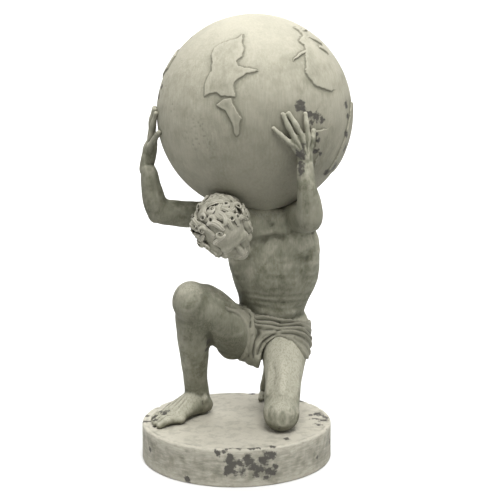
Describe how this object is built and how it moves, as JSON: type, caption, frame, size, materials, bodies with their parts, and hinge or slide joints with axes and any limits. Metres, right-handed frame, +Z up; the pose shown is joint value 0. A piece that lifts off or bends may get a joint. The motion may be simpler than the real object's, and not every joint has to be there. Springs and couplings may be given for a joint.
{
  "type": "atlas figurine",
  "caption": "Tabletop figurine of Atlas kneeling on a round plinth with a globe across his shoulders, cast with a weathered stone finish",
  "frame": {"origin": "centre of the plinth's flat underside", "axes": "+Z up from the plinth to the globe; the figure and the plinth's front face -Y; +X is the viewer's right"},
  "size_m": [0.2016, 0.1854, 0.4192],
  "materials": {
    "plinth_stone": "matt, weathered, with dark worn patches",
    "figure_stone": "matt, weathered, with cream on the high places",
    "globe_stone": "matt, weathered, with cream on the high places"
  },
  "bodies": {
    "root": {"plinth": "plinth_stone", "atlas_figure": "figure_stone", "globe": "globe_stone"}
  },
  "joints": []
}
